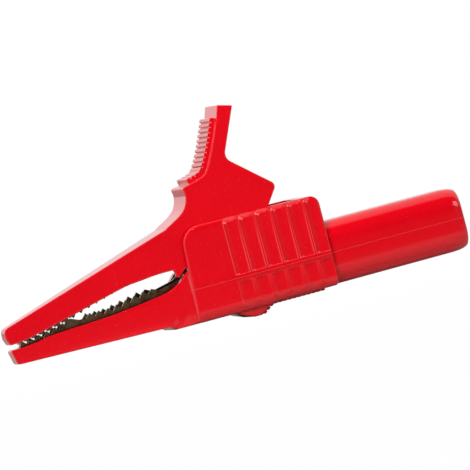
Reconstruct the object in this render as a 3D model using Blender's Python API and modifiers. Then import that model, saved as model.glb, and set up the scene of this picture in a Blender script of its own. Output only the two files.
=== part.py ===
"""A safety test clip: two serrated jaws in insulating covers, opened by a thumb lever,
with a shrouded 4 mm socket at the back.

The clip lies along X: the nose points to -X and the socket opens to +X. Its two sides are
alike but for a small spur on the near one, and it stands on the bump that the finger pulls
on. The jaws turn about a pin that runs along Y.

All sizes below are in millimetres. Only the helpers turn them into Blender's metres.
"""

import math

import bmesh
import bpy
from mathutils import Matrix, Vector

MM = 0.001

# The pivot: lengths along the clip are measured from the pin.
PIVOT_Z = 13.2
PIN_RADIUS = 1.5
PIN_GRIP = 0.35             # how far each end of the pin enters a grip wall

# Clearances
FIT = 0.3                   # between pieces that seat in or on one another
RUNNING = 0.3               # between the lever and the walls it swings between

# Body: grip walls
GRIP_FRONT = -9.1
GRIP_REAR = 18.55
GRIP_BOTTOM = 1.5
GRIP_TOP = 19.45
GRIP_FALL = 0.4             # the walls' top edges are this much lower at the rear
GRIP_EDGE = 0.65
GRIP_WIDTH = 15.6
SLOT_WIDTH = 12.3
GRIP_FLOOR = 1.6
BRIDGE = 3.55               # solid block behind the lever's slot
GRIP_BOTTOM_ROUND = 1.8
GRIP_LEAN = 0.8             # the walls' front edges lean back by this much
GRIP_FRONT_ROUND = 3.6
GRIP_REAR_ROUND = 1.7

# Body: flutes on the outside of the grip walls
FLUTE_COUNT = 6
FLUTES_START = -0.45
FLUTE_DEPTH = 0.5
LOWER_FLUTE_DEPTH = 0.4
FLUTE_CREST = 0.25
PARTING_Z = 7.8             # the mould's parting plane, which also holds the socket's axis
FLUTE_LIP = 0.55            # plain band that the flutes leave on each side of the parting line

# Body: finger bump and ribs on the underside
BUMP_FRONT = -1.5
BUMP_LOW = 1.5              # how far the bump stands below the grip
BUMP_WIDTH = 11.4
BUMP_LOW_X = 2.5            # where it is lowest
RIBS_START = 3.3
RIB_COUNT = 14
RIB_PITCH = 0.93
RIB_HEIGHT = 0.36
RIB_ROOT = 0.4              # how deep the ribs' feet are sunk, here and on the thumb pad
RIB_LIFT = 0.25             # the ribbed length of the underside is this much higher

# Body: barrel and shrouded socket
BARREL_LENGTH = 26.45
BARREL_WIDTH = 11.95
BARREL_DRAFT = 0.1
BARREL_CORNER = 3.6
BARREL_RIM = 0.95           # the rim round the mouth is rounded by this much across
BARREL_RIM_LENGTH = 3.0     # and by this much along the barrel
SHROUD_BORE = 9.4
SHROUD_DEPTH = 22.5
POST_WIDTH = 7.2
POST_SETBACK = 4.6          # the post's face lies this far inside the mouth
POST_LIP = 1.0
POST_LIP_BORE = 4.3
SOCKET_BORE = 4.0
SOCKET_WALL = 0.5
SOCKET_DEPTH = 20.0

# Covers: both taper in plan from the grip walls to the nose
NOSE = -44.2
NOSE_WIDTH = 4.2
COVER_WALL = 1.0
NOSE_WALL = 1.9
COVER_FLOOR = 1.2
NOSE_BOTTOM = 2.72
HEEL = -14.3                # the lower cover steps down here, to the level of the grip
HEEL_Z = 2.22
HEEL_STEP = -0.9
LEVER_ROOF = 1.6

# Lever
LEVER_EDGE = 0.5
THUMB_FRONT = [(4.8, 39.85), (4.25, 38.2), (3.65, 36.6), (1.95, 32.65), (-0.05, 28.9), (-1.3, 27.7), (-4.2, 26.9)]
THUMB_REAR = [(7.6, 39.1), (3.6, 30.0, 1.8), (11.9, 22.85, 1.1)]
KNOB = (-5.55, 26.6, 0.4)   # where the thumb pad ends above the neck
NECK = [(-9.85, 20.4), (-7.55, 21.65), (-6.25, 22.75), (-5.55, 24.1), (-5.35, 25.3)]
PAD_HEIGHT = 0.65           # of the raised pad that carries the ribs
THUMB_RIB_COUNT = 15
THUMB_RIB_PITCH = 0.95
THUMB_RIB_HEIGHT = 0.4      # above the pad
THUMB_RIM = 0.95            # plain rim on each side of the pad
THUMB_RIB_START = 2.85      # from the lever's tip to its first rib
CHEEK_RADIUS = 4.75
SPUR_REAR = [(-8.8, 12.0), (-9.7, 11.25)]           # a small spur behind the eye, on the near side only
SPUR_TIP = [(-10.3, 10.65, 0.2), (-10.75, 11.0, 0.2)]

# Metal jaws
SHEET = 0.7
EAR_RADIUS = 3.5
LOWER_PITCH = 1.746
UPPER_PITCH = 1.59
TOOTH_DEPTH = 0.9
JOGGLE_FRONT = -10.2
JOGGLE_REAR = -7.6
TAIL_END = 8.0              # the upper jaw's tail, which the spring pushes up
TAIL_ROOF = 21.9            # ceiling of the lever's hollow above the tail
REAR_LEAN = 0.715           # the lever's rear edge leans back by this much per unit of height
REAR_LIP = 19.5             # the lever's rear wall reaches down to here
FLANGE_HEIGHT = 3.0         # of the lower jaw's contact flange, above the socket's axis

# Spring and rivet
WIRE = 1.0
COIL_GAP = 0.1
COIL_SLACK = 0.4            # between the pin and the inside of the coil
RIVET_SHANK = 2.4
RIVET_HEAD = 4.4
RIVET_HEAD_HEIGHT = 1.1
RIVET_GRIP = 2.6            # how deep the rivet enters the socket

ARC_STEP = math.radians(15)

# Sizes that follow from those above
lever_half = SLOT_WIDTH / 2 - RUNNING
slot_end = GRIP_REAR - BRIDGE
slot_floor = GRIP_BOTTOM + GRIP_FLOOR
barrel_end = GRIP_REAR + BARREL_LENGTH
bore_to_pin = PIN_RADIUS + FIT
jaw_tip = NOSE + NOSE_WALL + FIT
upper_ear_half = lever_half - COVER_WALL - FIT
lower_ear_half = upper_ear_half - SHEET - FIT
socket_half = SOCKET_BORE / 2 + SOCKET_WALL
flange_rear = slot_end - 1.0
flange_front = flange_rear - SHEET
socket_front = flange_rear + FIT
lower_floor = slot_floor + FIT


# Plan: half widths as a function of x

def between(x, x0, x1, y0, y1):
    """Go evenly from y0 at x0 to y1 at x1, and stay level beyond."""
    share = min(max((x - x0) / (x1 - x0), 0.0), 1.0)
    return y0 + (y1 - y0) * share


def cover_half(x):
    """Both covers taper towards the nose."""
    return between(x, NOSE, GRIP_FRONT, NOSE_WIDTH / 2, lever_half)


FLARE_START = -18.0
FLARE = 1.35
FLARE_STEPS = 5


def flared_half(x):
    """The lower cover also swells into the grip walls in a slow curve."""
    share = between(x, FLARE_START, GRIP_FRONT, 0.0, 1.0)
    return cover_half(x) + FLARE * share ** 2


def cover_inside(x):
    return cover_half(x) - COVER_WALL


def jaw_half(x):
    return cover_inside(x) - FIT


def jaw_inside(x):
    return jaw_half(x) - SHEET


def lower_jaw_half(x):
    """The lower jaw's walls step inwards, so that its ears stand inside the upper jaw's."""
    if x < JOGGLE_FRONT:
        return jaw_half(x)
    return between(x, JOGGLE_FRONT, JOGGLE_REAR, jaw_half(JOGGLE_FRONT), lower_ear_half)


def lower_jaw_inside(x):
    return lower_jaw_half(x) - SHEET


# Outlines in the XZ plane

def rounded(corners):
    """Points of an outline, with each corner (x, z, radius) turned into an arc."""
    points = []
    for i, (x, z, *rest) in enumerate(corners):
        here = Vector((x, z))
        to_last = Vector(corners[i - 1][:2]) - here
        to_next = Vector(corners[(i + 1) % len(corners)][:2]) - here
        opening = to_last.angle(to_next)
        turn = math.pi - opening
        if not rest or turn < 0.01:
            points.append(here)
            continue
        reach = rest[0] / math.tan(opening / 2)
        reach = min(reach, 0.48 * to_last.length, 0.48 * to_next.length)
        radius = reach * math.tan(opening / 2)
        start = here + to_last.normalized() * reach
        middle = (to_last.normalized() + to_next.normalized()).normalized()
        centre = here + middle * radius / math.sin(opening / 2)
        side = 1 if to_last.cross(to_next) < 0 else -1
        steps = max(2, math.ceil(turn / ARC_STEP))
        for step in range(steps + 1):
            swing = Matrix.Rotation(side * turn * step / steps, 2)
            points.append(centre + swing @ (start - centre))
    return points


def arc(centre, radius, start, end, steps):
    """Points on a circle, from one angle to another in degrees."""
    angles = [math.radians(start + (end - start) * k / steps) for k in range(steps + 1)]
    return [(centre[0] + radius * math.cos(a), centre[1] + radius * math.sin(a)) for a in angles]


def smooth(knots, steps=3):
    """Points of a smooth curve through the knots."""
    knots = [Vector(k) for k in knots]
    ends = [2 * knots[0] - knots[1]] + knots + [2 * knots[-1] - knots[-2]]
    points = []
    for p0, p1, p2, p3 in zip(ends, ends[1:], ends[2:], ends[3:]):
        for step in range(steps):
            t = step / steps
            points.append(0.5 * (2 * p1 + (p2 - p0) * t + (2 * p0 - 5 * p1 + 4 * p2 - p3) * t ** 2
                                 + (3 * p1 - p0 - 3 * p2 + p3) * t ** 3))
    return [tuple(p) for p in points] + [tuple(knots[-1])]


def along(line, x):
    """Height at x of a line of (x, z) points that run towards +X."""
    for (x0, z0), (x1, z1) in zip(line, line[1:]):
        if x <= x1:
            break
    return z0 + (z1 - z0) * (x - x0) / (x1 - x0)


def teeth(line, first_x, last_x, pitch, point_up):
    """Zigzag whose points follow a line. The upper row ends in a gap, and the lower one in a point."""
    depth = TOOTH_DEPTH if point_up else -TOOTH_DEPTH
    points = [(first_x, along(line, first_x) - depth)]
    for k in range(int(2 * (last_x - first_x) / pitch), -1, -1):
        x = last_x - k * pitch / 2
        is_point = (k % 2 == 0) == point_up
        points.append((x, along(line, x) - (0 if is_point else depth)))
    return points


# The eye-shaped gap between the covers, and the rows of teeth that stand in it
COVER_EDGE_NOSE = [(NOSE + 0.3, 5.6, 0.4)]
COVER_EDGE_EYE = [(-41.2, 5.64), (-38.3, 6.0), (-36.2, 6.4), (-33.3, 6.6), (-27.5, 6.9), (-23.2, 7.2),
                  (-17.0, 7.95), (-13.8, 8.45), (-12.7, 8.75), (-11.4, 9.4), (-10.2, 10.15), (GRIP_FRONT, 11.3)]
ROOF_EDGE_NOSE = [(-37.9, 7.43), (-39.9, 6.92), (-42.1, 6.63)]
ROOF_EDGE_EYE = [(-11.0, 12.28), (-12.3, 12.3), (-14.7, 12.22), (-17.1, 11.97), (-19.5, 11.75), (-21.3, 11.42),
                 (-26.1, 10.27), (-31.7, 8.87), (-35.85, 7.85)]
UPPER_TIPS = [(NOSE, 5.95), (-42.0, 6.25), (-38.8, 6.65), (-35.6, 7.18), (-32.4, 7.93), (-27.7, 9.46),
              (-21.3, 11.3), (-17.0, 12.1)]
LOWER_TIPS = [(-30.0, 8.6), (-24.0, 8.6), (-16.4, 10.05), (-15.0, 9.9)]
MESH = 0.35                 # how far the two rows reach into one another in front of the eye
UPPER_TEETH_END = -17.3
LOWER_TEETH_END = -15.6
LOWER_COUNT = 8             # teeth of the lower row's own pitch; those in front mesh with the upper row

# The straight back of the lever, from its nose to the foot of the thumb pad
NOSE_TOP = 9.62
BACK_END = (-10.6, 19.95)
back_slope = (BACK_END[1] - NOSE_TOP) / (BACK_END[0] - NOSE)


def back(x, depth=0.0):
    """Height of the lever's back at x, or of a line this deep inside it."""
    return NOSE_TOP + back_slope * (x - NOSE) - depth * math.hypot(1, back_slope)


# Objects and modifiers

def fresh_collection(name):
    collection = bpy.data.collections.new(name)
    bpy.context.scene.collection.children.link(collection)
    return collection


def make_material(name, colour, roughness, metallic):
    material = bpy.data.materials.new(name)
    material.use_nodes = True
    shader = material.node_tree.nodes["Principled BSDF"]
    shader.inputs["Base Color"].default_value = (*colour, 1.0)
    shader.inputs["Roughness"].default_value = roughness
    shader.inputs["Metallic"].default_value = metallic
    return material


def add_object(name, mesh, matrix=Matrix.Identity(4), material=None):
    """Link a mesh as a part if it has a material, and as a hidden cutter if it has none."""
    thing = bpy.data.objects.new(name, mesh)
    thing.matrix_world = matrix
    if material:
        mesh.materials.append(material)
        parts.objects.link(thing)
    else:
        thing.hide_render = True
        thing.display_type = "WIRE"
        cutters.objects.link(thing)
    return thing


def weld(mesh):
    """Join a converted curve's caps to its sides, and merge the flat faces of each cap."""
    soup = bmesh.new()
    soup.from_mesh(mesh)
    bmesh.ops.remove_doubles(soup, verts=soup.verts, dist=1e-7)
    bmesh.ops.dissolve_limit(soup, angle_limit=0.002, verts=soup.verts, edges=soup.edges)
    bmesh.ops.recalc_face_normals(soup, faces=soup.faces)
    return soup


def finish_mesh(soup, mesh):
    soup.to_mesh(mesh)
    soup.free()
    mesh.shade_smooth()
    mesh.set_sharp_from_angle(angle=math.radians(30))
    return mesh


def side_solid(name, outline, half_width, stations=(), origin=(0.0, 0.0), material=None):
    """Extrude an outline of the side view across the clip.

    half_width is a number, or a function of x that is linear between the stations.
    """
    curve = bpy.data.curves.new(name, "CURVE")
    curve.dimensions = "2D"
    curve.fill_mode = "BOTH"
    curve.extrude = MM
    spline = curve.splines.new("POLY")
    spline.points.add(len(outline) - 1)
    for point, (x, z) in zip(spline.points, outline):
        point.co = ((x - origin[0]) * MM, (z - origin[1]) * MM, 0.0, 1.0)
    spline.use_cyclic_u = True
    holder = bpy.data.objects.new(name, curve)
    holder.matrix_world = (Matrix.Translation((origin[0] * MM, 0, origin[1] * MM))
                           @ Matrix.Rotation(math.pi / 2, 4, "X"))
    cutters.objects.link(holder)
    bpy.context.view_layer.update()
    mesh = bpy.data.meshes.new_from_object(holder.evaluated_get(bpy.context.evaluated_depsgraph_get()))
    matrix = holder.matrix_world.copy()
    bpy.data.objects.remove(holder)

    soup = weld(mesh)
    for x in stations:
        geometry = [*soup.verts, *soup.edges, *soup.faces]
        bmesh.ops.bisect_plane(soup, geom=geometry, dist=1e-8, plane_no=(1, 0, 0),
                               plane_co=((x - origin[0]) * MM, 0, 0))
    for vertex in soup.verts:
        x = vertex.co.x / MM + origin[0]
        half = half_width(x) if callable(half_width) else half_width
        vertex.co.z = math.copysign(half * MM, vertex.co.z)
    return add_object(name, finish_mesh(soup, mesh), matrix, material)


def plan_solid(name, outline, bottom, top):
    """Extrude an outline of the plan view (x, y) from one height to another."""
    thing = side_solid(name, outline, (top - bottom) / 2)
    thing.matrix_world = Matrix.Translation((0, 0, (bottom + top) / 2 * MM))
    return thing


def section_solid(name, outline, start, end):
    """Extrude an outline of the end view (y, z) along the clip."""
    thing = side_solid(name, outline, (end - start) / 2)
    thing.matrix_world = (Matrix.Translation(((start + end) / 2 * MM, 0, 0))
                          @ Matrix.Rotation(math.pi / 2, 4, "Z") @ Matrix.Rotation(math.pi / 2, 4, "X"))
    return thing


def round_long_edges(thing, radius, steps, chosen):
    """Round the edges whose middle passes the test, in the object's own mesh."""
    soup = bmesh.new()
    soup.from_mesh(thing.data)
    edges = [e for e in soup.edges if chosen(thing.matrix_world @ ((e.verts[0].co + e.verts[1].co) / 2) / MM,
                                             thing.matrix_world.to_3x3() @ (e.verts[1].co - e.verts[0].co) / MM)]
    bmesh.ops.bevel(soup, geom=edges, offset=radius * MM, segments=steps, profile=0.5,
                    affect="EDGES", clamp_overlap=True)
    finish_mesh(soup, thing.data)


def cylinder(name, radius, start, end, sides=32, material=None):
    """A plain cylinder between two points."""
    start, end = Vector(start) * MM, Vector(end) * MM
    soup = bmesh.new()
    bmesh.ops.create_cone(soup, cap_ends=True, segments=sides, radius1=radius * MM,
                          radius2=radius * MM, depth=(end - start).length)
    turn = Vector((0, 0, 1)).rotation_difference(end - start).to_matrix().to_4x4()
    mesh = finish_mesh(soup, bpy.data.meshes.new(name))
    return add_object(name, mesh, Matrix.Translation((start + end) / 2) @ turn, material)


def turned(name, profile, origin, direction, material=None, sides=32):
    """Turn a profile of (radius, distance) points about a line. It runs down the outer side."""
    mesh = bpy.data.meshes.new(name)
    points = [(r * MM, 0.0, d * MM) for r, d in profile]
    mesh.from_pydata(points, [(k, k + 1) for k in range(len(points) - 1)], [])
    turn = Vector((0, 0, 1)).rotation_difference(Vector(direction)).to_matrix().to_4x4()
    thing = add_object(name, mesh, Matrix.Translation(Vector(origin) * MM) @ turn, material)
    screw = thing.modifiers.new("turn", "SCREW")
    screw.axis = "Z"
    screw.steps = screw.render_steps = sides
    screw.use_merge_vertices = True
    screw.merge_threshold = 0.00001
    return thing


def ease(thing, width, steps=2):
    bevel = thing.modifiers.new("eased_edges", "BEVEL")
    bevel.width = width * MM
    bevel.segments = steps
    bevel.limit_method = "ANGLE"
    bevel.angle_limit = math.radians(40)


def combine(thing, operation, *tools):
    for tool in tools:
        boolean = thing.modifiers.new(tool.name, "BOOLEAN")
        boolean.operation = operation
        boolean.solver = "EXACT"
        boolean.object = tool


# Pieces

def make_grip_block():
    """The block behind the lower cover, with rounded corners and a rounded underside."""
    lifted = GRIP_BOTTOM + RIB_LIFT
    block = side_solid("grip_block", rounded([
        (GRIP_FRONT, GRIP_BOTTOM), (GRIP_FRONT + GRIP_LEAN, GRIP_TOP, GRIP_FRONT_ROUND),
        (GRIP_REAR, GRIP_TOP - GRIP_FALL, GRIP_REAR_ROUND), (GRIP_REAR, lifted),
        (RIBS_START + 3, lifted), (RIBS_START + 2, GRIP_BOTTOM)]), GRIP_WIDTH / 2)
    round_long_edges(block, GRIP_BOTTOM_ROUND, 4,
                     lambda at, run: at.z < lifted + 0.1 and abs(run.x) > abs(run.y))
    ease(block, GRIP_EDGE, 3)
    return block


def make_cover_trough():
    """The lower cover before it is hollowed out. Where it flares, its underside is rounded like the grip."""
    flare = [between(k, 0, FLARE_STEPS, FLARE_START, GRIP_FRONT) for k in range(FLARE_STEPS + 1)]
    into_block = GRIP_FRONT + 0.5
    below = GRIP_BOTTOM - 0.5
    cover = side_solid("lower_cover", rounded([
        (into_block, below), (HEEL - HEEL_STEP * (HEEL_Z - below) / (HEEL_Z - GRIP_BOTTOM), below),
        (HEEL, HEEL_Z), (NOSE + 1.0, NOSE_BOTTOM, 0.6), *COVER_EDGE_NOSE, *smooth(COVER_EDGE_EYE, 2),
        (into_block, COVER_EDGE_EYE[-1][1])]), flared_half, flare)
    ease(cover, 0.35)
    half = GRIP_WIDTH / 2 + 0.5
    corner = GRIP_BOTTOM_ROUND + 1.0
    section = section_solid("cover_section", rounded([
        (-half, GRIP_BOTTOM, corner), (half, GRIP_BOTTOM, corner), (half, GRIP_TOP), (-half, GRIP_TOP)]),
        NOSE - 1, GRIP_FRONT + 2)
    combine(cover, "INTERSECT", section)
    return cover


def make_barrel():
    """A square bar with rounded corners, a slight draft and a rounded rim."""
    start = GRIP_REAR - 1.0
    soup = bmesh.new()
    bmesh.ops.create_cube(soup, size=1.0)
    for vertex in soup.verts:
        width = BARREL_WIDTH - (BARREL_DRAFT if vertex.co.x > 0 else 0.0)
        vertex.co = Vector((barrel_end if vertex.co.x > 0 else start,
                            width * vertex.co.y, PARTING_Z + width * vertex.co.z)) * MM
    barrel = add_object("barrel", finish_mesh(soup, bpy.data.meshes.new("barrel")))
    round_long_edges(barrel, BARREL_CORNER, 8, lambda at, run: abs(run.x) > 1)

    soup = bmesh.new()
    soup.from_mesh(barrel.data)
    rim_start = barrel_end - BARREL_RIM_LENGTH
    for share in (0.0, 0.4, 0.65, 0.82, 0.94):
        geometry = [*soup.verts, *soup.edges, *soup.faces]
        bmesh.ops.bisect_plane(soup, geom=geometry, dist=1e-8, plane_no=(1, 0, 0),
                               plane_co=((rim_start + BARREL_RIM_LENGTH * share) * MM, 0, 0))
    for vertex in soup.verts:
        share = between(vertex.co.x / MM, rim_start, barrel_end, 0.0, 1.0)
        inset = BARREL_RIM * (1 - math.sqrt(1 - share ** 2))
        shrink = 1 - inset / (BARREL_WIDTH / 2)
        vertex.co.y *= shrink
        vertex.co.z = PARTING_Z * MM + (vertex.co.z - PARTING_Z * MM) * shrink
    finish_mesh(soup, barrel.data)
    return barrel


def beside(path, length, rise):
    """The point this far along a path, and this far out on its right."""
    for here, there in zip(path, path[1:]):
        step = Vector(there) - Vector(here)
        if length <= step.length:
            break
        length -= step.length
    run = step.normalized()
    return Vector(there) + run * (length - step.length) + Vector((run.y, -run.x)) * rise


def make_comb(name, path, first, pitch, count, foot, height, width):
    """A strip of broad ribs across the clip, at even steps along a path, on its right."""
    ease_off = 0.1
    profile = [(-0.43, foot), (-0.35, height - ease_off), (-0.25, height),
               (0.25, height), (0.35, height - ease_off), (0.43, foot)]
    outer = [beside(path, first + (k + at) * pitch, rise) for k in range(count) for at, rise in profile]
    inner = [beside(path, first + (k - 0.43) * pitch, -RIB_ROOT) for k in range(count)]
    inner.append(beside(path, first + (count - 0.57) * pitch, -RIB_ROOT))
    return side_solid(name, outer + inner[::-1], width / 2)


def make_finger_bump():
    low = GRIP_BOTTOM - BUMP_LOW
    lifted = GRIP_BOTTOM + RIB_LIFT
    ramp_top = RIBS_START + 2.4
    bump = side_solid("finger_bump", rounded([
        (BUMP_FRONT, GRIP_BOTTOM + 1), (BUMP_FRONT, GRIP_BOTTOM), (BUMP_FRONT + 1.3, low + 0.75, 1.0),
        (BUMP_LOW_X - 0.8, low, 1.0), (BUMP_LOW_X + 0.6, low, 0.5), (ramp_top, lifted),
        (ramp_top, GRIP_BOTTOM + 1)]), BUMP_WIDTH / 2)
    ease(bump, 0.3)
    path = [(BUMP_LOW_X + 0.6, low), (ramp_top, lifted), (GRIP_REAR, lifted)]
    ribs = make_comb("finger_ribs", path, RIB_PITCH * 0.9, RIB_PITCH, RIB_COUNT, -RIB_ROOT / 2, RIB_HEIGHT,
                     BUMP_WIDTH - 0.6)
    return bump, ribs


def make_flutes():
    """Scalloped cutters for both sides, a deep row above the parting line and a shallow one below."""
    pitch = (GRIP_REAR - FLUTES_START) / FLUTE_COUNT
    half_chord = (pitch - FLUTE_CREST) / 2
    rows = (("upper", FLUTE_DEPTH, PARTING_Z + FLUTE_LIP, GRIP_TOP + 1),
            ("lower", LOWER_FLUTE_DEPTH, GRIP_BOTTOM - 1, PARTING_Z - FLUTE_LIP))
    cutters_made = []
    for row, depth, bottom, top in rows:
        radius = (half_chord ** 2 + depth ** 2) / (2 * depth)
        reach = math.degrees(math.asin(half_chord / radius)) + 1.5
        for side in (-1, 1):
            outline = [(FLUTES_START, side * (GRIP_WIDTH / 2 + 2))]
            for k in range(FLUTE_COUNT):
                centre = (FLUTES_START + pitch * (k + 0.5), side * (GRIP_WIDTH / 2 + radius - depth))
                outline += arc(centre, radius, -side * (90 + reach), -side * (90 - reach), 8)
            outline.append((GRIP_REAR, side * (GRIP_WIDTH / 2 + 2)))
            cutters_made.append(plan_solid(f"{row}_flutes_{'near' if side < 0 else 'far'}", outline, bottom, top))
    return cutters_made


def make_body(material, pin_hole):
    """One moulding: lower cover, two fluted grip walls, and the barrel around its socket post."""
    body = make_grip_block()
    body.name = "body_housing"
    body.data.materials.append(material)
    cutters.objects.unlink(body)
    parts.objects.link(body)
    body.hide_render = False
    body.display_type = "TEXTURED"

    trough = side_solid("trough", [
        (NOSE + NOSE_WALL, NOSE_BOTTOM + COVER_FLOOR), (HEEL, HEEL_Z + COVER_FLOOR),
        (HEEL - HEEL_STEP, slot_floor), (GRIP_FRONT + 1, slot_floor),
        (GRIP_FRONT + 1, GRIP_TOP + 2), (NOSE + NOSE_WALL, GRIP_TOP + 2)], cover_inside, [GRIP_FRONT])
    slot_front = GRIP_FRONT + GRIP_LEAN / 2
    slot = side_solid("lever_slot", [
        (slot_front, slot_floor), (slot_end, slot_floor), (slot_end, GRIP_TOP + 1),
        (slot_front, GRIP_TOP + 1)], SLOT_WIDTH / 2)
    lip = POST_SETBACK + POST_LIP
    through = barrel_end - slot_end + 1
    socket_recess = turned("socket_recess", [
        (0, 1), (SHROUD_BORE / 2, 1), (SHROUD_BORE / 2, -SHROUD_DEPTH), (POST_WIDTH / 2, -SHROUD_DEPTH),
        (POST_WIDTH / 2, -POST_SETBACK), (POST_LIP_BORE / 2, -POST_SETBACK), (POST_LIP_BORE / 2, -lip),
        (socket_half + FIT, -lip), (socket_half + FIT, -through), (0, -through)],
        (barrel_end, 0, PARTING_Z), (1, 0, 0))

    combine(body, "UNION", make_cover_trough(), make_barrel(), *make_finger_bump())
    combine(body, "DIFFERENCE", trough, slot, socket_recess, pin_hole, *make_flutes())
    return body


def make_lever(material, pin_hole):
    """One moulding: upper cover, cheeks around the pin, and the thumb lever with its ribs."""
    front = smooth(THUMB_FRONT, 2)
    cheek = arc((0, PIVOT_Z), CHEEK_RADIUS, -6, -135, 8)
    outline = rounded([
        (NOSE + 0.45, 6.55, 0.5), (NOSE, 7.8), (NOSE, NOSE_TOP, 1.1),*smooth([BACK_END, *NECK], 2), KNOB, *front[::-1],
        *THUMB_REAR, *cheek, (-6.6, 11.8, 1.0), *SPUR_REAR, *SPUR_TIP,
        *smooth(ROOF_EDGE_EYE, 2), *ROOF_EDGE_NOSE])
    lever = side_solid("lever_housing", outline, cover_half, [GRIP_FRONT], (0, PIVOT_Z), material)
    ease(lever, LEVER_EDGE)

    ribs = make_comb("thumb_ribs", front, THUMB_RIB_START, THUMB_RIB_PITCH, THUMB_RIB_COUNT,
                     PAD_HEIGHT, PAD_HEIGHT + THUMB_RIB_HEIGHT, 2 * (lever_half - THUMB_RIM))
    spur_top = ROOF_EDGE_EYE[0]
    far_spur = side_solid("far_spur", [
        (spur_top[0] - 0.3, spur_top[1] + 0.06), (SPUR_REAR[0][0] + 0.4, SPUR_REAR[0][1] + 0.06),
        (SPUR_REAR[0][0] + 0.4, 0), (spur_top[0] - 0.3, 0)], lever_half)
    far_spur.location.y = (lever_half + 1.0) * MM
    wall_front = NOSE + NOSE_WALL
    behind_tail = [(TAIL_END + 2 * FIT + REAR_LEAN * (z - TAIL_ROOF + FIT + 2 * SHEET), z)
                   for z in (TAIL_ROOF, REAR_LIP)]
    cavity = side_solid("lever_cavity", [
        (wall_front, 0), (wall_front, back(wall_front, LEVER_ROOF)), (-9.5, back(-9.5, LEVER_ROOF)),
        (-4.0, 20.6), (1.0, TAIL_ROOF), *behind_tail, (GRIP_REAR, REAR_LIP), (GRIP_REAR, 0)],
        cover_inside, [GRIP_FRONT + 0.1])
    combine(lever, "UNION", ribs)
    combine(lever, "DIFFERENCE", pin_hole, cavity, far_spur)
    return lever


def make_upper_jaw(material, pin_hole):
    """A pressed channel: teeth along its lower edges, ears on the pin, and a tail for the spring."""
    top = [(jaw_tip, back(jaw_tip, LEVER_ROOF + FIT)), (-9.6, back(-9.6, LEVER_ROOF + FIT)),
           (-4.1, 20.3), (1.0, TAIL_ROOF - FIT), (TAIL_END, TAIL_ROOF - FIT)]
    ear = arc((0, PIVOT_Z), EAR_RADIUS, 0, -150, 10)
    row = teeth(UPPER_TIPS, jaw_tip, UPPER_TEETH_END, UPPER_PITCH, point_up=False)
    jaw = side_solid("upper_jaw", top + [
        (TAIL_END, TAIL_ROOF - FIT - 2 * SHEET), (EAR_RADIUS, TAIL_ROOF - FIT - 3 * SHEET)] + ear + [
        (-8.0, 13.4), (UPPER_TEETH_END + 0.9, 13.2)] + row[::-1], jaw_half, [GRIP_FRONT], (0, PIVOT_Z), material)
    inside = [(x, z - SHEET * math.hypot(1, back_slope)) for x, z in top]
    inside[0] = (jaw_tip + SHEET, inside[0][1] + SHEET * back_slope)
    channel = side_solid("upper_channel", inside[:-1] + [
        (TAIL_END + 2, inside[-1][1]), (TAIL_END + 2, 0), (jaw_tip + SHEET, 0)], jaw_inside, [GRIP_FRONT])
    combine(jaw, "DIFFERENCE", channel, pin_hole)
    return jaw


def make_lower_jaw(material, pin_hole):
    """A pressed channel: teeth, joggled ears, and a tongue that ends in a contact flange."""
    nose_floor = NOSE_BOTTOM + COVER_FLOOR + FIT
    heel_floor = HEEL_Z + COVER_FLOOR + FIT
    bottom = [(flange_rear, lower_floor), (HEEL - HEEL_STEP, lower_floor), (HEEL, heel_floor),
              (jaw_tip, nose_floor)]
    eye_teeth = teeth(LOWER_TIPS, LOWER_TEETH_END - LOWER_COUNT * LOWER_PITCH, LOWER_TEETH_END, LOWER_PITCH,
                      point_up=True)
    steps = math.ceil((UPPER_TEETH_END - eye_teeth[1][0]) / UPPER_PITCH) + 1
    mesh_line = [(x, z + MESH) for x, z in UPPER_TIPS]
    front_teeth = teeth(mesh_line, jaw_tip, UPPER_TEETH_END - steps * UPPER_PITCH, UPPER_PITCH, point_up=True)
    row = front_teeth + eye_teeth
    ear = arc((0, PIVOT_Z), EAR_RADIUS, 140, 0, 10)
    flange_top = PARTING_Z + FLANGE_HEIGHT
    curb = lower_floor + 2 * SHEET
    stations = [JOGGLE_FRONT, JOGGLE_REAR]
    jaw = side_solid("lower_jaw", bottom + row + [(-14.2, 9.3), (-10.0, 10.2)] + ear + [
        (EAR_RADIUS, 7.5), (EAR_RADIUS + 1.5, curb), (flange_front, curb),
        (flange_front, flange_top), (flange_rear, flange_top)], lower_jaw_half, stations, material=material)
    channel = side_solid("lower_channel", [
        (jaw_tip + SHEET, nose_floor + SHEET), (HEEL, heel_floor + SHEET),
        (HEEL - HEEL_STEP, lower_floor + SHEET), (flange_front, lower_floor + SHEET),
        (flange_front, 30), (jaw_tip + SHEET, 30)], lower_jaw_inside, stations)
    rivet_hole = cylinder("rivet_hole", RIVET_SHANK / 2 + FIT, (flange_front - 1, 0, PARTING_Z),
                          (flange_rear + 1, 0, PARTING_Z), 24)
    combine(jaw, "DIFFERENCE", channel, pin_hole, rivet_hole)
    return jaw


def make_socket(material):
    """A turned tube: open to the plug at the back, with a blind hole for the rivet in front."""
    length = barrel_end - POST_SETBACK - POST_LIP - FIT - socket_front
    hole = RIVET_SHANK / 2 + FIT
    return turned("socket_tube", [
        (0, length - SOCKET_DEPTH), (SOCKET_BORE / 2, length - SOCKET_DEPTH), (SOCKET_BORE / 2, length),
        (socket_half, length), (socket_half, 0), (hole, 0), (hole, RIVET_GRIP + FIT),
        (0, RIVET_GRIP + FIT)], (socket_front, 0, PARTING_Z), (1, 0, 0), material)


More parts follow.
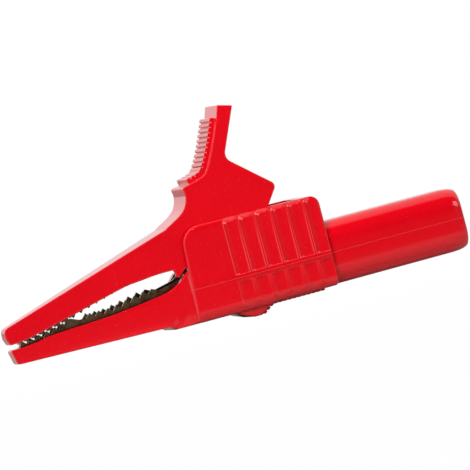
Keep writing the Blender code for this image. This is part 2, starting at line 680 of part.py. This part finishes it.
def make_rivet(material):
    """A domed rivet that holds the lower jaw's flange to the socket."""
    under_head = RIVET_GRIP + (socket_front - flange_front) + FIT
    dome = [(RIVET_HEAD / 2 * math.sin(a), under_head + RIVET_HEAD_HEIGHT * math.cos(a))
            for a in (math.radians(18 * k) for k in range(6))]
    shank = RIVET_SHANK / 2
    return turned("contact_rivet", dome + [(shank, under_head), (shank, 0.2), (shank - 0.2, 0), (0, 0)],
                  (socket_front + RIVET_GRIP, 0, PARTING_Z), (-1, 0, 0), material, 24)


def make_pin(material):
    """A plain pin, whose ends sit in blind pockets of the grip walls."""
    half = SLOT_WIDTH / 2 + PIN_GRIP
    chamfer = 0.25
    return turned("pivot_pin", [
        (0, half), (PIN_RADIUS - chamfer, half), (PIN_RADIUS, half - chamfer),
        (PIN_RADIUS, chamfer - half), (PIN_RADIUS - chamfer, -half), (0, -half)],
        (0, 0, PIVOT_Z), (0, 1, 0), material, 24)


def tangent(end, radius):
    """Angle at which a wire leaves the coil clockwise towards a point given from the coil's axis."""
    end = Vector(end)
    return math.atan2(end.y, end.x), math.acos(radius / end.length)


def make_spring(material):
    """A torsion spring around the pin. Its legs press the lower jaw's tongue and the upper tail apart."""
    radius = PIN_RADIUS + COIL_SLACK + WIRE / 2
    lower_end = Vector((flange_front - 4.5, lower_floor + SHEET + FIT + WIRE / 2 - PIVOT_Z))
    upper_end = Vector((TAIL_END - 2.0, TAIL_ROOF - FIT - SHEET * 1.1 - FIT - WIRE / 2 - PIVOT_Z))
    lower_at, lower_open = tangent(lower_end, radius)
    upper_at, upper_open = tangent(upper_end, radius)
    start = lower_at - lower_open
    stop = upper_at + upper_open - 2 * math.pi
    half = lower_ear_half - SHEET - FIT - WIRE / 2
    turns = int(2 * half / (WIRE + COIL_GAP) - (start - stop) / (2 * math.pi))
    sweep = (start - stop) + 2 * math.pi * turns
    steps = math.ceil(sweep / math.radians(30))
    points = [(lower_end.x, -half, lower_end.y)]
    for k in range(steps + 1):
        angle = start - sweep * k / steps
        points.append((radius * math.cos(angle), -half + 2 * half * k / steps, radius * math.sin(angle)))
    points.append((upper_end.x, half, upper_end.y))

    curve = bpy.data.curves.new("torsion_spring", "CURVE")
    curve.dimensions = "3D"
    curve.bevel_depth = WIRE / 2 * MM
    curve.bevel_resolution = 2
    curve.use_fill_caps = True
    spline = curve.splines.new("POLY")
    spline.points.add(len(points) - 1)
    for point, (x, y, z) in zip(spline.points, points):
        point.co = (x * MM, y * MM, z * MM, 1.0)
    spring = bpy.data.objects.new("torsion_spring", curve)
    spring.location = (0, 0, PIVOT_Z * MM)
    curve.materials.append(material)
    parts.objects.link(spring)
    return spring


for thing in list(bpy.data.objects):
    bpy.data.objects.remove(thing)

parts = fresh_collection("test_clip")
cutters = fresh_collection("cutters")

red_plastic = make_material("red_plastic", (0.76, 0.004, 0.012), 0.22, 0.0)
nickel = make_material("nickel_plated_steel", (0.42, 0.38, 0.32), 0.35, 1.0)
spring_steel = make_material("spring_steel", (0.45, 0.45, 0.46), 0.3, 1.0)
nickel_brass = make_material("nickel_plated_brass", (0.62, 0.58, 0.5), 0.28, 1.0)

pin_reach = SLOT_WIDTH / 2 + PIN_GRIP + FIT
pin_clearance = cylinder("pin_clearance", bore_to_pin, (0, -pin_reach, PIVOT_Z), (0, pin_reach, PIVOT_Z))

make_body(red_plastic, pin_clearance)
make_lever(red_plastic, pin_clearance)
make_lower_jaw(nickel, pin_clearance)
make_upper_jaw(nickel, pin_clearance)
make_pin(spring_steel)
make_spring(spring_steel)
make_socket(nickel_brass)
make_rivet(nickel_brass)

# The origin is put under the middle of the length
for thing in [*parts.objects, *cutters.objects]:
    thing.location.x -= (NOSE + barrel_end) / 2 * MM
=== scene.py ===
# %% [markdown]
# # A safety test clip, from bare solids to a finished picture
#
# The clip is a spring clip for test leads. Two plated steel jaws sit in red insulating
# mouldings, a thumb lever opens them, and a plug goes into the barrel at the back.
#
# The solids of every piece are already modelled and come in as a fixed frame, in metres.
# This lesson dresses them: it gives each piece its surface, stands the clip on a pale
# table in soft light, and points a camera at it. The frame's solids are never moved.

# %% Load the frame
import math

import bmesh
import bpy
from mathutils import Matrix, Vector


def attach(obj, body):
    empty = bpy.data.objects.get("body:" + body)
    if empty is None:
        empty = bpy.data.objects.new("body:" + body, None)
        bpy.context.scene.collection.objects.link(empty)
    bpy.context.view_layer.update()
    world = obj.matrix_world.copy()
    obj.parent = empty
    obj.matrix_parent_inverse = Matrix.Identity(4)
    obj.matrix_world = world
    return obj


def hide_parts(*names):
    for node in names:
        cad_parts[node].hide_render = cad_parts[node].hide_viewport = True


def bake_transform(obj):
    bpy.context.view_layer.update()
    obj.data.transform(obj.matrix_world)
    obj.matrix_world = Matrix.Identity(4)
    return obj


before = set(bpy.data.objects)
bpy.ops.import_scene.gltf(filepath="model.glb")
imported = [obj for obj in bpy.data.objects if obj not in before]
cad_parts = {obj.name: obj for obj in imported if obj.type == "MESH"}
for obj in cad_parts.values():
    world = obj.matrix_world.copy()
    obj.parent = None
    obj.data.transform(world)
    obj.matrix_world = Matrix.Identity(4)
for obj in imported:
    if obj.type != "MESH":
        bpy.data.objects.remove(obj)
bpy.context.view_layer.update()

MM = 0.001
print("pieces:", ", ".join(sorted(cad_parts)))

# %% [markdown]
# ## Shader maths as plain expressions
#
# A procedural finish is a small sum: so much noise here, a line there, times a mask.
# Blender draws that sum as a web of Math nodes, which is slow to wire by hand. One small
# class wraps an output socket and overloads the operators, so that `1 - mask` or
# `grain * 0.2 + fold` is written as maths and the nodes appear by themselves.

# %% A socket that can be added and multiplied


class Value:
    """The output of a node. Arithmetic on it adds Math nodes to its finish."""

    def __init__(self, finish, socket):
        self.finish = finish
        self.socket = socket

    def math(self, operation, *others, clamp=False):
        settings = {"operation": operation, "use_clamp": clamp}
        node = self.finish.node("ShaderNodeMath", settings, dict(enumerate((self, *others))))
        return self.finish.value(node)

    def __add__(self, other):
        return self.math("ADD", other)

    def __radd__(self, other):
        return self.math("ADD", other)

    def __sub__(self, other):
        return self.math("SUBTRACT", other)

    def __rsub__(self, other):
        return self.finish.number_math("SUBTRACT", other, self)

    def __mul__(self, other):
        return self.math("MULTIPLY", other)

    def __rmul__(self, other):
        return self.math("MULTIPLY", other)

    def __truediv__(self, other):
        return self.math("DIVIDE", other)

    def __rtruediv__(self, other):
        return self.finish.number_math("DIVIDE", other, self)

    def __abs__(self):
        return self.math("ABSOLUTE")

    def clamped(self):
        return self.math("ADD", 0.0, clamp=True)

    def rise(self, low, high, to_low=0.0, to_high=1.0):
        """Eases from to_low to to_high as this value goes from low to high."""
        node = self.finish.node(
            "ShaderNodeMapRange", {"interpolation_type": "SMOOTHSTEP", "clamp": True},
            {"Value": self, "From Min": low, "From Max": high, "To Min": to_low, "To Max": to_high})
        return self.finish.value(node)


print("socket maths ready")

# %% [markdown]
# ## A finish is one material
#
# Every material here starts from the Principled shader. Numbers that are the same all over
# the piece, such as the index of refraction, are set straight on the shader. What changes
# from place to place, such as colour, roughness and fine relief, is linked to it.

# %% One class for every finish
EDGE_SAMPLES = 6
# 1 minus the cosine of the angle between the eased normal and the flat one
FOLD_STARTS, FOLD_ENDS = 0.012, 0.07


class Finish:
    """A material with one Principled shader and one way to add any other node."""

    def __init__(self, name, **constants):
        self.material = bpy.data.materials.new(name)
        self.material.use_nodes = True
        self.tree = self.material.node_tree
        self.shader = self.tree.nodes["Principled BSDF"]
        for socket, number in constants.items():
            self.shader.inputs[socket.replace("_", " ")].default_value = number

    def node(self, kind, settings=None, inputs=None):
        node = self.tree.nodes.new(kind)
        for key, setting in (settings or {}).items():
            setattr(node, key, setting)
        for key, given in (inputs or {}).items():
            self.feed(node.inputs[key], given)
        return node

    def feed(self, socket, given):
        if isinstance(given, Value):
            self.tree.links.new(given.socket, socket)
        elif socket.type == "RGBA" and len(given) == 3:
            socket.default_value = (*given, 1)
        else:
            socket.default_value = given

    def value(self, node, output=0):
        return Value(self, node.outputs[output])

    def number_math(self, operation, number, other):
        """A Math node whose first side is a plain number, for the reflected operators."""
        return self.value(self.node("ShaderNodeMath", {"operation": operation}, {0: number, 1: other}))

    def surface(self, colour, roughness, normal):
        """Links what changes over the piece to the shader."""
        self.feed(self.shader.inputs["Base Color"], colour)
        self.feed(self.shader.inputs["Roughness"], roughness)
        self.feed(self.shader.inputs["Normal"], normal)

    def wear(self, piece):
        """Puts this finish on a piece, in place of whatever it had."""
        piece.data.materials.clear()
        piece.data.materials.append(self.material)

    def colour_mix(self, factor, first, second):
        node = self.node("ShaderNodeMix", {"data_type": "RGBA"}, {0: factor, 6: first, 7: second})
        return self.value(node, 2)

    def place(self):
        """The point on the piece, in metres, which rides along when the piece moves."""
        return self.value(self.node("ShaderNodeTexCoord"), "Object")

    def facing(self):
        """The direction that the surface faces, seen from the piece itself."""
        return self.value(self.node("ShaderNodeTexCoord"), "Normal")

    def split(self, vector):
        node = self.node("ShaderNodeSeparateXYZ", None, {0: vector})
        return [self.value(node, i) for i in range(3)]

    def stretched(self, vector, scale):
        node = self.node("ShaderNodeVectorMath", {"operation": "MULTIPLY"}, {0: vector, 1: scale})
        return self.value(node)

    def noise(self, vector, size_mm, detail=3.0, roughness=0.5):
        """Noise around 0.5 whose lumps are about size_mm across."""
        node = self.node("ShaderNodeTexNoise", {"noise_dimensions": "3D"}, {
            "Vector": vector, "Scale": 1 / (size_mm * MM), "Detail": detail, "Roughness": roughness})
        return self.value(node, "Fac")

    def relief(self, height, depth_mm, normal=None):
        """Bumps the surface by height times depth_mm."""
        inputs = {"Height": height, "Distance": depth_mm * MM, "Strength": 1.0}
        if normal is not None:
            inputs["Normal"] = normal
        return self.value(self.node("ShaderNodeBump", None, inputs), "Normal")

    def eased_edges(self, radius_mm):
        """The normal of the surface as if its sharp edges were rounded by radius_mm."""
        node = self.node("ShaderNodeBevel", {"samples": EDGE_SAMPLES}, {"Radius": radius_mm * MM})
        return self.value(node)

    def along_edges(self, radius_mm):
        """1 within about radius_mm of a fold, 0 on flat and gently curved faces."""
        flat = self.value(self.node("ShaderNodeNewGeometry"), "True Normal")
        eased = self.eased_edges(radius_mm)
        agree = self.node("ShaderNodeVectorMath", {"operation": "DOT_PRODUCT"}, {0: eased, 1: flat})
        return (1 - self.value(agree, "Value")).rise(FOLD_STARTS, FOLD_ENDS)


print("finish helpers ready")

# %% [markdown]
# ## The red moulding
#
# The housings are injection moulded in a glossy, tough red plastic. A polished mould gives
# a mirror-like skin, but never a perfect one: the melt leaves broad, faint clouds as it
# flows and cools, handling leaves fine scratches and a little dust, and the two mould
# halves leave a hair-thin raised line where they meet. That raised line is also painted
# a little paler, as a painted highlight.
#
# The colour stays nearly pure, since gloss does most of the work. Edges in a mould are
# never razor sharp, so a Bevel node rounds them for the light only. Where that rounded
# normal differs from the flat one there is a fold, and every fold is painted paler, as a
# painted edge highlight. The flutes' upright crests, where fingers grip, get the most of it,
# and their level ends and the lower flutes less, to follow how the light falls on them.

# %% Red plastic
RED = (0.8, 0.0018, 0.0095)
DEEP_RED = (0.66, 0.0015, 0.008)
DUST_RED = (0.9, 0.55, 0.5)
# painted highlight: the paler red painted on the raised parting line
PARTING_HIGHLIGHT_RED = (0.95, 0.2, 0.2)
# painted highlight: the paler red painted on every fold, and how much of it is painted
FOLD_HIGHLIGHT_RED = (0.95, 0.17, 0.17)
FOLD_HIGHLIGHT_SHARE = 0.36
GLOSS_ROUGHNESS = 0.13
SKIN_RELIEF_MM = 0.004
EDGE_ROUND_MM = 0.22
EDGE_LINE_MM = 0.12
PARTING_HEIGHT = 7.8 * MM
PARTING_HALF_WIDTH = 0.07 * MM
PARTING_RELIEF = 14  # in parts of SKIN_RELIEF_MM
GRIP_FRONT_X = -9.7 * MM
# how much of the painted edge highlight the lower flutes and the level folds keep
LOWER_FLUTES_TOP = (6.5 * MM, 9 * MM)
LOWER_FLUTES_HIGHLIGHT_SHARE = 0.45
LEVEL_FOLDS_HIGHLIGHT_SHARE = 0.3


def red_plastic(name, with_parting_line):
    finish = Finish(name, IOR=1.5, Coat_IOR=1.5, Coat_Roughness=0.04, Coat_Weight=0.25)
    place = finish.place()
    x, y, z = finish.split(place)

    clouds = finish.noise(finish.stretched(place, (0.5, 1.0, 1.0)), 9.0, detail=2.0)
    mottle = finish.noise(place, 1.6, detail=3.0)
    scratches = finish.noise(finish.stretched(place, (1.0, 1.0, 9.0)), 1.1, detail=4.0, roughness=0.65)
    dust = finish.noise(place, 0.22, detail=1.0).rise(0.71, 0.76)
    grain = finish.noise(place, 0.16, detail=2.0)

    depth = (clouds - 0.5) * 0.9 + (mottle - 0.5) * 0.25 + 0.35
    colour = finish.colour_mix(depth.clamped(), RED, DEEP_RED)
    colour = finish.colour_mix(dust * 0.06, colour, DUST_RED)
    roughness = GLOSS_ROUGHNESS + (mottle - 0.5) * 0.08 + scratches.rise(0.55, 0.8) * 0.07 + dust * 0.25

    height = grain * 0.35 + mottle * 0.8 + clouds * 2.5
    # painted highlight: every fold is painted paler
    fold_highlight = finish.along_edges(EDGE_LINE_MM) * FOLD_HIGHLIGHT_SHARE
    if with_parting_line:
        near_line = 1 - (abs(z - PARTING_HEIGHT) / PARTING_HALF_WIDTH).rise(0.4, 1.0)
        line = near_line * x.rise(GRIP_FRONT_X, GRIP_FRONT_X + 0.1 * MM)
        height = height + line * PARTING_RELIEF
        # painted highlight: the parting line is painted a little paler along its length
        colour = finish.colour_mix(line * 0.16, colour, PARTING_HIGHLIGHT_RED)
        roughness = roughness + line * 0.15

        # the painted edge highlight is weaker on folds that face up and on the lower flutes, to follow
        # how the light falls
        _, _, upward = finish.split(finish.eased_edges(EDGE_LINE_MM))
        highlight_on_level_folds = abs(upward).rise(0.1, 0.45, 1.0, LEVEL_FOLDS_HIGHLIGHT_SHARE)
        highlight_on_lower_flutes = z.rise(*LOWER_FLUTES_TOP, LOWER_FLUTES_HIGHLIGHT_SHARE, 1.0)
        fold_highlight = fold_highlight * highlight_on_level_folds * highlight_on_lower_flutes
    # painted highlight: the folds are painted paler here
    colour = finish.colour_mix(fold_highlight, colour, FOLD_HIGHLIGHT_RED)
    normal = finish.relief(height, SKIN_RELIEF_MM, finish.eased_edges(EDGE_ROUND_MM))
    finish.surface(colour, roughness, normal)
    return finish


body_red = red_plastic("red_plastic_body", True)
lever_red = red_plastic("red_plastic_lever", False)
print("red plastic:", len(body_red.tree.nodes), "nodes")

# %% [markdown]
# ## Smooth skins for the mouldings
#
# The solids come in as flat facets, and a mirror-like skin would show each of them. So each
# moulding gets a copy of its mesh, welded and shaded smooth across its rounded corners. A
# fold sharper than 32 degrees stays a fold. The copy stands in the picture for the solid.
#
# Smooth shading blends the normals between a face's corners. On a tall, narrow face that
# ends in a rounded edge the blend would run all the way down, so the housing's skin is cut
# through at a few levels, which leaves its shape alone and keeps each blend near its edge.

# %% Skins
SMOOTH_UP_TO = math.radians(32)
FLAT_WITHIN = math.radians(0.4)
WELD_WITHIN = 0.002 * MM
HOUSING_CUTS_MM = (3.6, 7.0, 8.6, 18.1)


def cut_level(soup, height):
    geometry = [*soup.verts, *soup.edges, *soup.faces]
    bmesh.ops.bisect_plane(
        soup, geom=geometry, dist=1e-7, plane_no=(0, 0, 1), plane_co=(0, 0, height))


def smooth_skin(node, finish, body, level_cuts_mm=()):
    skin = bpy.data.objects.new(node + "_skin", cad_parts[node].data.copy())
    bpy.context.scene.collection.objects.link(skin)
    soup = bmesh.new()
    soup.from_mesh(skin.data)
    bmesh.ops.remove_doubles(soup, verts=soup.verts, dist=WELD_WITHIN)
    bmesh.ops.dissolve_limit(soup, angle_limit=FLAT_WITHIN, verts=soup.verts, edges=soup.edges)
    for height_mm in level_cuts_mm:
        cut_level(soup, height_mm * MM)
    soup.to_mesh(skin.data)
    soup.free()
    skin.data.shade_smooth()
    skin.data.set_sharp_from_angle(angle=SMOOTH_UP_TO)
    flat = skin.modifiers.new("flat_faces_stay_flat", "WEIGHTED_NORMAL")
    flat.keep_sharp = True
    flat.weight = 100
    finish.wear(skin)
    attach(skin, body)
    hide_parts(node)
    return skin


housing_skin = smooth_skin("body_housing", body_red, "body", HOUSING_CUTS_MM)
lever_skin = smooth_skin("lever_housing", lever_red, "lever")
print("skins:", len(housing_skin.data.polygons), "and", len(lever_skin.data.polygons), "faces")

# %% [markdown]
# ## The jaws
#
# Both jaws are punched from 0.7 mm steel strip, folded, and barrel plated with nickel. The
# rolled faces keep faint lines along the strip, and the plate is a little yellow and goes
# dull inside the covers, where dirt stays. The punched edges of the teeth are cut, not
# rolled: they are bright near the top of the cut and rough below it.
#
# The face of the sheet looks sideways and the cut edge looks along the clip, so the
# surface's own normal tells one from the other. Every cut edge is painted near white by it,
# as a painted highlight far paler than the plate on the faces.

# %% Nickel-plated steel
ROLLED_FACE = (0.40, 0.31, 0.17)
# painted highlight: the near-white colour painted on every cut edge
CUT_EDGE_HIGHLIGHT = (0.95, 0.86, 0.72)
DIRT = (0.09, 0.062, 0.028)
METAL_EDGE_ROUND_MM = 0.1
ROLLED_RELIEF_MM = 0.006


def plated_steel(name, face, edge, dirt):
    finish = Finish(name, Metallic=1.0)
    place = finish.place()
    _, sideways, _ = finish.split(finish.facing())
    cut = abs(sideways).rise(0.55, 0.9, 1.0, 0.0)

    rolled = finish.noise(finish.stretched(place, (0.08, 1.0, 1.0)), 0.16, detail=4.0)
    stains = finish.noise(place, 1.4, detail=4.0, roughness=0.6)
    pits = finish.noise(place, 0.12, detail=1.0).rise(0.66, 0.74)

    stained = finish.colour_mix(stains.rise(0.42, 0.68) * 0.75, face, dirt)
    # painted highlight: every cut edge is painted near white
    colour = finish.colour_mix(cut, stained, edge)
    pitted = finish.colour_mix(pits * 0.5, colour, dirt)
    roughness = 0.24 + stains * 0.18 + rolled * 0.14 + pits * 0.2 + cut * 0.06
    height = rolled * (1 - cut * 0.7) + stains * 0.6 - pits * 1.5
    normal = finish.relief(height, ROLLED_RELIEF_MM, finish.eased_edges(METAL_EDGE_ROUND_MM))
    finish.surface(pitted, roughness, normal)
    return finish


jaw_steel = plated_steel("nickel_plated_steel", ROLLED_FACE, CUT_EDGE_HIGHLIGHT, DIRT)
for part in ("upper_jaw", "lower_jaw", "pivot_pin"):
    jaw_steel.wear(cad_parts[part])
print("plated steel on the jaws and the pin")

# %% [markdown]
# ## Socket and rivet
#
# The socket is a turned brass tube with a bright nickel plate, and the rivet that holds it
# to the lower jaw is of the same metal. Turning leaves fine rings round the axis, which
# here means fine lines in the distance along it.

# %% Nickel-plated brass
BRIGHT_PLATE = (0.78, 0.75, 0.68)
TARNISHED_PLATE = (0.55, 0.47, 0.32)
TURNED_RELIEF_MM = 0.004


def turned_brass(name):
    finish = Finish(name, Metallic=1.0)
    place = finish.place()
    rings = finish.noise(finish.stretched(place, (1.0, 0.06, 0.06)), 0.09, detail=3.0)
    tarnish = finish.noise(place, 2.2, detail=4.0)
    colour = finish.colour_mix(tarnish.rise(0.45, 0.75) * 0.6, BRIGHT_PLATE, TARNISHED_PLATE)
    normal = finish.relief(rings, TURNED_RELIEF_MM, finish.eased_edges(METAL_EDGE_ROUND_MM))
    finish.surface(colour, 0.16 + rings * 0.12 + tarnish * 0.12, normal)
    return finish


brass = turned_brass("nickel_plated_brass")
for part in ("socket_tube", "contact_rivet"):
    brass.wear(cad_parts[part])
print("plated brass on the socket and the rivet")

# %% [markdown]
# ## The spring
#
# The torsion spring is wound from drawn wire. One leg presses on the lower jaw and the
# other on the upper one, so it twists when the lever is pushed. The frame's solid can't
# bend; a copy of its mesh, shaded smooth, stands in for it, and nothing here bends it.

# %% Spring
CLEAN_WIRE = (0.5, 0.49, 0.47)
OILED_WIRE = (0.26, 0.24, 0.21)
DRAWN_RELIEF_MM = 0.004


def drawn_wire(name):
    finish = Finish(name, Metallic=1.0)
    place = finish.place()
    draw_lines = finish.noise(finish.stretched(place, (0.3, 1.0, 0.3)), 0.1, detail=3.0)
    oil = finish.noise(place, 1.1, detail=3.0)
    colour = finish.colour_mix(oil.rise(0.4, 0.7), CLEAN_WIRE, OILED_WIRE)
    normal = finish.relief(draw_lines, DRAWN_RELIEF_MM)
    finish.surface(colour, 0.22 + draw_lines * 0.2, normal)
    return finish


def wound_spring():
    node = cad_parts["torsion_spring"]
    wire = bpy.data.objects.new("torsion_spring_wire", node.data.copy())
    bpy.context.scene.collection.objects.link(wire)
    wire.data.shade_smooth()
    drawn_wire("spring_steel").wear(wire)
    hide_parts("torsion_spring")
    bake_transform(wire)
    return wire


spring = wound_spring()
print("spring:", len(spring.data.vertices), "points between the two bodies")

# %% [markdown]
# ## The table
#
# A catalogue picture stands on white paper, so a wide disc lies under the clip. The camera
# sees it glow white, and only a breath of the clip's shadow is left on it. The clip itself is
# lit by what the paper throws back: pale under and behind it, for the faces that look down,
# and dark towards the camera, so that the near faces mirror little and show pure colour.

# %% Table
TABLE_RADIUS = 4.0
PAPER_TONES = ((0.47, 0.47, 0.47), (0.52, 0.52, 0.52))
DARK_PAPER = (0.05, 0.05, 0.05)
PAPER_FADES = (-0.08, 0.0)
GLOW = 1.03
GLOW_SHARE = 0.96


def table_top():
    bpy.ops.mesh.primitive_circle_add(vertices=64, radius=TABLE_RADIUS, fill_type="NGON")
    table = bpy.context.active_object
    table.name = "table_top"
    finish = Finish("pale_table", Roughness=0.9)
    place = finish.place()
    _, across, _ = finish.split(place)
    paper = finish.colour_mix(finish.noise(place, 40.0), *PAPER_TONES)
    colour = finish.colour_mix(across.rise(*PAPER_FADES), DARK_PAPER, paper)
    finish.feed(finish.shader.inputs["Base Color"], colour)
    glow = finish.node("ShaderNodeEmission", None, {"Color": (1, 1, 1), "Strength": GLOW})
    seen = finish.value(finish.node("ShaderNodeLightPath"), "Is Camera Ray")
    blended = finish.node("ShaderNodeMixShader", None, {
        0: seen * GLOW_SHARE, 1: finish.value(finish.shader), 2: finish.value(glow)})
    output = finish.tree.nodes["Material Output"]
    finish.tree.links.new(blended.outputs[0], output.inputs["Surface"])
    finish.wear(table)
    return table


table_top()
print("table under the clip at z = 0")

# %% [markdown]
# ## Tent and soft boxes
#
# The photograph is a product shot in a white tent: the light comes from all round, and the
# side where the camera stands is darker, so that faces turned to the camera show pure
# colour and faces seen at a flat angle mirror the white.
#
# The world is therefore white all round and nearly black towards the camera. Three round
# soft boxes light the near side: one from the left, one from the right, and a small one
# close above, whose light falls off over the clip's height. Only the one on the right shows
# in the gloss, where it draws the bright lines on the flutes' crests and on the barrel's rim.

# %% Tent
DARK_SIDE = Vector((0.1, -0.99, 0.0))
TENT_LIGHT = 0.88
DARK_LIGHT = 0.01
DARK_FROM, DARK_BY = 0.1, 0.45


def tent():
    """A white tent that falls off to nearly nothing towards the camera."""
    world = bpy.data.worlds.new("tent")
    bpy.context.scene.world = world
    world.use_nodes = True
    tree = world.node_tree
    tree.nodes.clear()
    out = tree.nodes.new("ShaderNodeOutputWorld")
    direction = tree.nodes.new("ShaderNodeTexCoord")
    towards = tree.nodes.new("ShaderNodeVectorMath")
    towards.operation = "DOT_PRODUCT"
    tree.links.new(direction.outputs["Generated"], towards.inputs[0])
    towards.inputs[1].default_value = DARK_SIDE.normalized()
    fall = tree.nodes.new("ShaderNodeMapRange")
    fall.interpolation_type = "SMOOTHSTEP"
    ends = {"From Min": DARK_FROM, "From Max": DARK_BY, "To Min": TENT_LIGHT, "To Max": DARK_LIGHT}
    for key, number in ends.items():
        fall.inputs[key].default_value = number
    tree.links.new(towards.outputs["Value"], fall.inputs["Value"])
    light = tree.nodes.new("ShaderNodeBackground")
    light.inputs["Color"].default_value = (1, 1, 1, 1)
    tree.links.new(fall.outputs[0], light.inputs["Strength"])
    seen = tree.nodes.new("ShaderNodeBackground")
    seen.inputs["Color"].default_value = (1, 1, 1, 1)
    path = tree.nodes.new("ShaderNodeLightPath")
    mix = tree.nodes.new("ShaderNodeMixShader")
    tree.links.new(path.outputs["Is Camera Ray"], mix.inputs[0])
    tree.links.new(light.outputs[0], mix.inputs[1])
    tree.links.new(seen.outputs[0], mix.inputs[2])
    tree.links.new(mix.outputs[0], out.inputs[0])


tent()
print("tent light:", TENT_LIGHT, "round about and", DARK_LIGHT, "towards the camera")

# %% Soft boxes
LIT_POINT = Vector((0, 0, 0.015))
SOFT_BOXES = (  # name, place in m, width in m, watts, and whether the gloss mirrors it
    ("box_front_left", (-0.45, -0.85, 0.35), 0.35, 4.7, False),
    ("box_front_right", (0.66, -0.58, 0.25), 0.42, 1.4, True),
    ("box_near_top", (-0.01, -0.10, 0.14), 0.05, 0.14, False),
)


def soft_box(name, place, width, watts, mirrored):
    lamp = bpy.data.lights.new(name, "AREA")
    lamp.shape = "ELLIPSE"
    lamp.size = lamp.size_y = width
    lamp.energy = watts
    box = bpy.data.objects.new(name, lamp)
    bpy.context.scene.collection.objects.link(box)
    box.visible_glossy = mirrored
    box.location = place
    box.rotation_euler = (LIT_POINT - Vector(place)).to_track_quat("-Z", "Y").to_euler()


for box_values in SOFT_BOXES:
    soft_box(*box_values)
bpy.context.scene.view_settings.view_transform = "Standard"
print("soft boxes:", ", ".join(box_values[0] for box_values in SOFT_BOXES))

# %% [markdown]
# ## Camera
#
# The camera stands far off with a long lens, as for a catalogue picture. It looks across
# the clip from a little above and a little to the nose's side, and it is rolled so that
# the barrel points up to the right.

# %% Camera
TURN = math.radians(11.1)
TILT = math.radians(1.85)
ROLL = math.radians(14.72)
DISTANCE = 2.0
FRAME_WIDTH = 87.53 * MM
AIM = Vector((2.6 * MM, 0.0, 15.47 * MM))


def rolled_camera():
    forward = Vector((math.sin(TURN) * math.cos(TILT), math.cos(TURN) * math.cos(TILT), -math.sin(TILT)))
    level = Vector((math.cos(TURN), -math.sin(TURN), 0))
    upright = level.cross(forward)
    right = level * math.cos(ROLL) - upright * math.sin(ROLL)
    up = level * math.sin(ROLL) + upright * math.cos(ROLL)
    data = bpy.data.cameras.new("camera")
    data.lens = data.sensor_width * DISTANCE / FRAME_WIDTH
    data.clip_start, data.clip_end = 0.05, 20
    camera = bpy.data.objects.new("camera", data)
    bpy.context.scene.collection.objects.link(camera)
    turn = Matrix((right, up, -forward)).transposed().to_4x4()
    camera.matrix_world = Matrix.Translation(AIM - forward * DISTANCE) @ turn
    bpy.context.scene.camera = camera
    return camera


camera = rolled_camera()
print("lens in mm:", round(camera.data.lens, 1))
